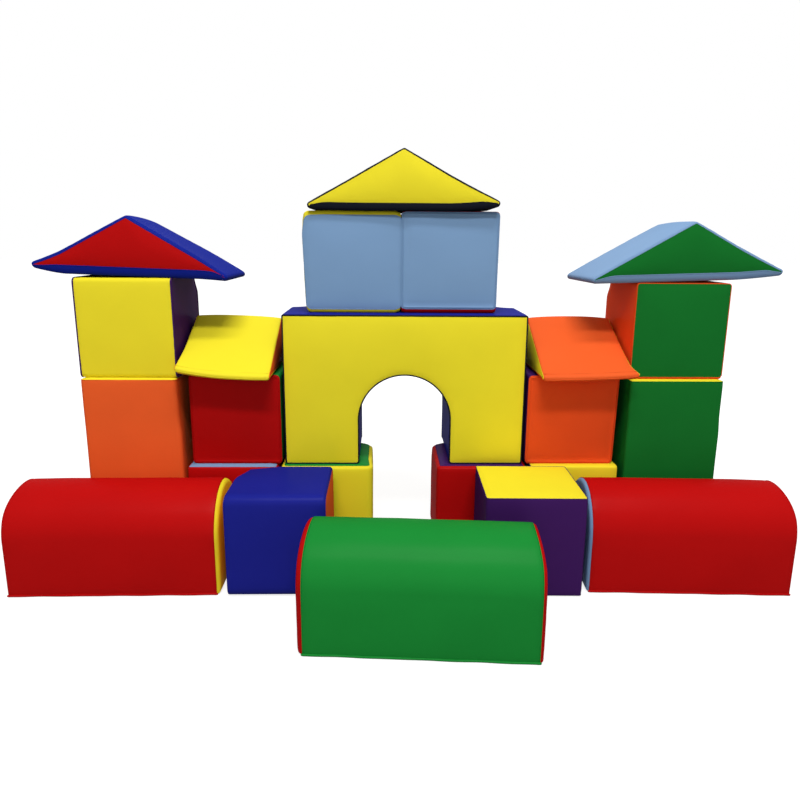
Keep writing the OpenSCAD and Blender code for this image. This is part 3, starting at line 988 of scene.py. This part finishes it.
coverBlock("right_tower_top", rightTowerTop)
print("walls and towers covered")

# the gate arch and the keep above it
# the arch's seam rolls are navy and thick: painted shade, dark lines standing for the rolled rim of its blue
# band in shadow
gateArch = {"form": "arch", "ends": "y", "band": "blue", "panels": "yellow", "seed": 14,
            "edge": 0.008, "welt": "navy", "weltSize": 0.0028, "lintel": 0.006, "stretch": (0.0, 0.012),
            "softCorners": [{"at": (-0.396, 0.498, -0.15), "over": 0.08, "move": (0.010, -0.008, 0.0)},
                            {"at": (0.396, 0.498, -0.15), "over": 0.08, "move": (-0.010, -0.008, 0.0)}]}
keepLeftCube = {"form": "keepCube", "ends": "y", "band": "yellow", "panels": "light_blue", "seed": 15,
                "edge": 0.017, "plateau": 0.15, "snug": ("right",), "welt": "light_blue",
                "reach": (0.006, 0.0), "foot": (0.012, 0.0), "insets": {"top": 0.015, "base": 0.012},
                "softCorners": [{"at": (-0.156, 0.320, 0.156), "over": 0.08, "move": (0.010, -0.002, 0.0)}]}
keepRightCube = {"form": "keepCube", "ends": "y", "band": "red", "panels": "light_blue", "seed": 16,
                 "edge": 0.011, "plateau": 0.15, "snug": ("left",), "welt": "light_blue",
                 "flange": 0.0012, "stitched": True, "foot": (0.0, 0.003),
                 "insets": {"base": 0.014, "top": 0.004}}
coverBlock("arch", gateArch)
coverBlock("keep_left_cube", keepLeftCube)
coverBlock("keep_right_cube", keepRightCube)
print("arch and keep covered")

# roofs: toes and ridge give how far the two ends lift or droop
leftLeanTo = {"form": "roof", "ends": "x", "band": "yellow", "panels": "orange", "seed": 17, "lips": True,
              "welt": "orange", "tall": 0.94, "slopeSwell": 0.006, "bow": 0.004, "ridge": (0.002, 0.010),
              "stretch": (-0.004, 0.008), "toes": ((0.028, 0.0), (0.0, 0.0)), "curl": 2.5}
rightLeanTo = {"form": "roof", "ends": "x", "band": "orange", "panels": "yellow", "seed": 18, "lips": True,
               "welt": "yellow", "tall": 0.94, "slopeSwell": 0.006, "bow": 0.006, "ridge": (0.006, 0.006),
               "toes": ((0.0, 0.012), (0.0, 0.0)), "curl": 2.5, "flare": 0.020}
leftRoof = {"form": "roof", "ends": "y", "band": "roof_blue", "panels": "red", "seed": 19,
            "strip": 0.027, "rim": 0.008, "tips": (0.45, 1.0), "tilt": (-1.9, 0.127), "bearing": 0.20,
            "toes": ((0.016, 0.016), (-0.004, -0.004)), "ridge": (0.016, 0.0)}
rightRoof = {"form": "roof", "ends": "y", "band": "light_blue", "panels": "deep_green", "seed": 20,
             "strip": 0.024, "rim": 0.006, "turn": 1.8, "wide": 1.02, "shift": -0.014, "lean": 0.008,
             "lift": 0.0086, "tilt": (1.8, -0.173), "toes": ((0.0, 0.0), (0.010, 0.010)),
             "ridge": (0.004, 0.0)}
keepRoof = {"form": "roof", "ends": "y", "band": "navy", "panels": "yellow", "seed": 21, "strip": 0.021,
            "turn": -1.5, "shift": 0.009, "toes": ((0.003, 0.003), (0.012, 0.012))}
coverBlock("left_lean_to", leftLeanTo)
coverBlock("right_lean_to", rightLeanTo)
coverBlock("left_roof", leftRoof)
coverBlock("right_roof", rightRoof)
coverBlock("keep_roof", keepRoof)
print("roofs covered")

# the loose blocks in front
frontLeftCube = {"form": "freeCube", "ends": "x", "band": "blue", "panels": "orange", "seed": 22,
                 "freeTop": True, "edge": 0.027, "insets": {"top": 0.008}, "stretch": (0.0, 0.005),
                 "softCorners": [{"at": (0.15, 0.314, -0.15), "over": 0.15,
                                  "move": (-0.008, -0.006, 0.026)}]}
frontRightCube = {"form": "freeCube", "ends": "z", "band": "purple", "panels": "yellow", "seed": 24,
                  "turn": -1.2, "dome": 0.006, "reach": (0.006, -0.006)}
leftHalfRound = {"form": "halfRound", "ends": "x", "band": "red", "panels": "yellow", "seed": 25,
                 "turn": 0.6, "round": {"a": 0.013}, "stretch": (0.008, 0.007),
                 "softCorners": [{"at": (0.0, 0.310, -0.302), "over": 0.15, "move": (0.0, -0.002, 0.014)}]}
rightHalfRound = {"form": "halfRound", "ends": "x", "band": "red", "panels": "light_blue", "seed": 26,
                  "turn": -2.6, "round": {"b": 0.010}, "stretch": (0.005, -0.001), "reach": (-0.008, 0.006),
                  "softCorners": [{"at": (0.0, 0.310, 0.302), "over": 0.15, "move": (0.0, -0.002, -0.016)}]}
frontHalfRound = {"form": "halfRound", "ends": "x", "band": "green", "panels": "red", "seed": 27,
                  "turn": -4.3, "round": {"a": 0.011, "b": 0.018}, "stretch": (0.0, 0.007),
                  "softCorners": [{"at": (0.0, 0.310, 0.302), "over": 0.15, "move": (0.0, -0.002, -0.010)},
                                  {"at": (0.0, 0.310, -0.302), "over": 0.15, "move": (0.0, -0.002, 0.004)}]}
coverBlock("front_left_cube", frontLeftCube)
coverBlock("front_right_cube", frontRightCube)
coverBlock("left_half_round", leftHalfRound)
coverBlock("right_half_round", rightHalfRound)
coverBlock("front_half_round", frontHalfRound)
print("front blocks covered")
swellPanels(panels, swelling)
